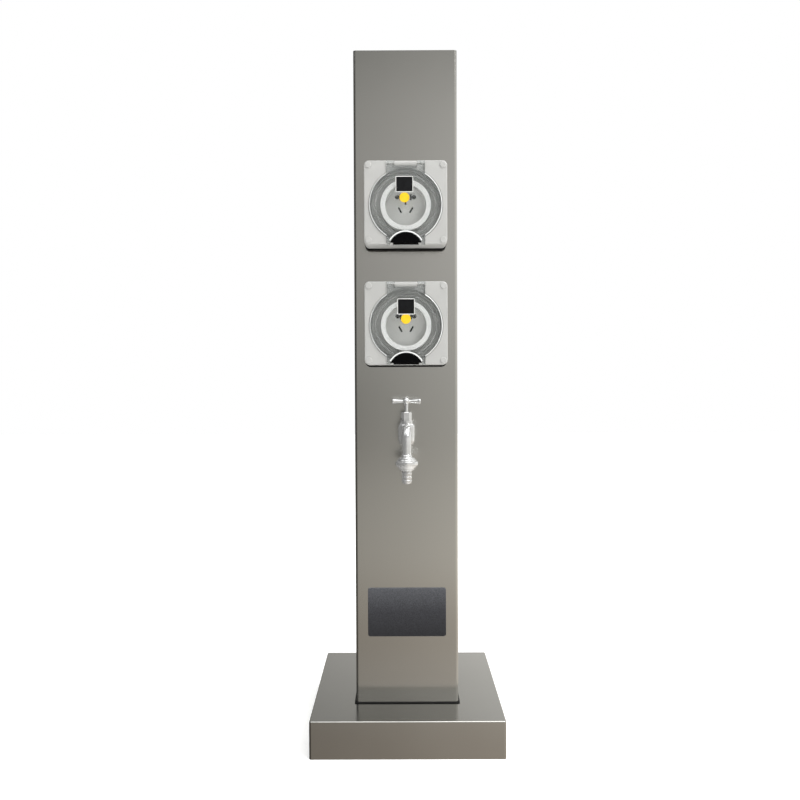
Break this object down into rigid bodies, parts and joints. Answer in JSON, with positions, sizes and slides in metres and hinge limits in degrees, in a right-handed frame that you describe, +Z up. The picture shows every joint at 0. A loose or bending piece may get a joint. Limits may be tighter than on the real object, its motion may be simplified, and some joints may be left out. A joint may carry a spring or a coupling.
{
  "type": "garden socket post",
  "caption": "Square stainless column on a low square plinth, with covered weatherproof sockets, a nameplate and a hose tap on its front and a service panel behind.",
  "frame": {"origin": "on the ground at the column's axis, centre of the anchor bolts", "axes": "+Z up along the column, -Y out of the front with the sockets and tap, +X to the right seen from the front"},
  "size_m": [0.238, 0.2635, 0.87],
  "materials": {
    "stainless": "satin polished stainless sheet",
    "galvanised": "zinc coated steel",
    "screw_steel": "bright stainless fasteners",
    "pipe_steel": "drawn stainless tube",
    "black_rubber": "matt black elastomer",
    "plate_slate": "dark printed aluminium",
    "box_grey": "moulded grey plastic",
    "housing_grey": "moulded light grey polycarbonate, fine satin",
    "cap_grey": "moulded light grey plugs",
    "insert_white": "moulded off-white plastic",
    "seal_white": "translucent white silicone",
    "clear_lid": "clear polycarbonate",
    "latch_black": "black moulded plastic",
    "gland_black": "black moulded plastic",
    "lead_black": "black flexible sheath",
    "lead_green": "green sheath",
    "tinned_copper": "tinned copper",
    "brass": "machined brass",
    "chrome": "polished chrome on brass"
  },
  "bodies": {
    "post": {"column_shell": "stainless", "top_cap": "stainless", "rear_panel": "stainless", "rear_panel_gasket": "black_rubber", "rear_panel_screws": "screw_steel", "anchor_plate": "galvanised", "plinth_cover": "stainless", "base_gasket": "black_rubber", "nameplate": "plate_slate", "terminal_box": "box_grey", "terminal_box_lid": "box_grey", "terminal_strip": "insert_white", "box_fixings": "screw_steel", "supply_gland_body": "gland_black", "supply_gland_nut": "gland_black", "upper_lead": "lead_black", "lower_lead": "lead_black", "earth_lead": "lead_green", "earth_stud": "screw_steel", "earth_nut": "screw_steel", "earth_lug": "tinned_copper", "riser_pipe": "pipe_steel", "inlet_fitting": "brass", "pipe_clip": "galvanised", "tap_elbow": "brass", "tap_backnut": "brass", "tap_washer": "black_rubber", "tap_body": "chrome", "tap_bonnet": "chrome", "gland_nut": "chrome", "gland_packing": "black_rubber", "union_nut": "chrome", "hose_tail": "chrome", "tail_washer": "black_rubber", "socket_seals": "black_rubber", "hinge_pins": "screw_steel", "latch_pins": "screw_steel", "socket_screws": "screw_steel", "socket_nuts": "screw_steel", "screw_caps": "cap_grey", "upper_housing": "housing_grey", "upper_insert": "insert_white", "upper_carrier": "gland_black", "upper_contacts": "brass", "lower_housing": "housing_grey", "lower_insert": "insert_white", "lower_carrier": "gland_black", "lower_contacts": "brass"},
    "upper_cover": {"upper_lid": "clear_lid", "upper_lid_seal": "seal_white"},
    "upper_catch": {"upper_latch": "latch_black"},
    "upper_blind": {"upper_shutter": "latch_black"},
    "lower_cover": {"lower_lid": "clear_lid", "lower_lid_seal": "seal_white"},
    "lower_catch": {"lower_latch": "latch_black"},
    "lower_blind": {"lower_shutter": "latch_black"},
    "valve": {"jumper_valve": "brass", "valve_washer": "black_rubber"},
    "tap_key": {"spindle": "chrome", "tap_handle": "chrome"}
  },
  "joints": [
    {"name": "upper_cover_hinge", "type": "hinge", "parent": "post", "child": "upper_cover", "pos_m": [0, -0.0992, 0.719], "axis": [-1, 0, 0], "range_deg": [0, 150]},
    {"name": "upper_catch_hinge", "type": "hinge", "parent": "post", "child": "upper_catch", "pos_m": [0, -0.096, 0.624], "axis": [1, 0, 0], "range_deg": [0, 70]},
    {"name": "upper_blind_slide", "type": "slide", "parent": "post", "child": "upper_blind", "axis": [1, 0, 0], "range_m": [0, 0.0045], "stiffness_N_per_m": 100},
    {"name": "lower_cover_hinge", "type": "hinge", "parent": "post", "child": "lower_cover", "pos_m": [0, -0.0992, 0.573], "axis": [-1, 0, 0], "range_deg": [0, 150]},
    {"name": "lower_catch_hinge", "type": "hinge", "parent": "post", "child": "lower_catch", "pos_m": [0, -0.096, 0.478], "axis": [1, 0, 0], "range_deg": [0, 70]},
    {"name": "lower_blind_slide", "type": "slide", "parent": "post", "child": "lower_blind", "axis": [1, 0, 0], "range_m": [0, 0.0045], "stiffness_N_per_m": 100},
    {"name": "valve_lift", "type": "slide", "parent": "post", "child": "valve", "axis": [0, 0, 1], "range_m": [0, 0.003]},
    {"name": "handle_turn", "type": "hinge", "parent": "valve", "child": "tap_key", "pos_m": [0, -0.103, 0.42], "axis": [0, 0, 1], "range_deg": [0, 722]}
  ],
  "couplings": [
    {"joint": "handle_turn", "follows": "valve_lift", "rad_per_m": 4188.8}
  ]
}
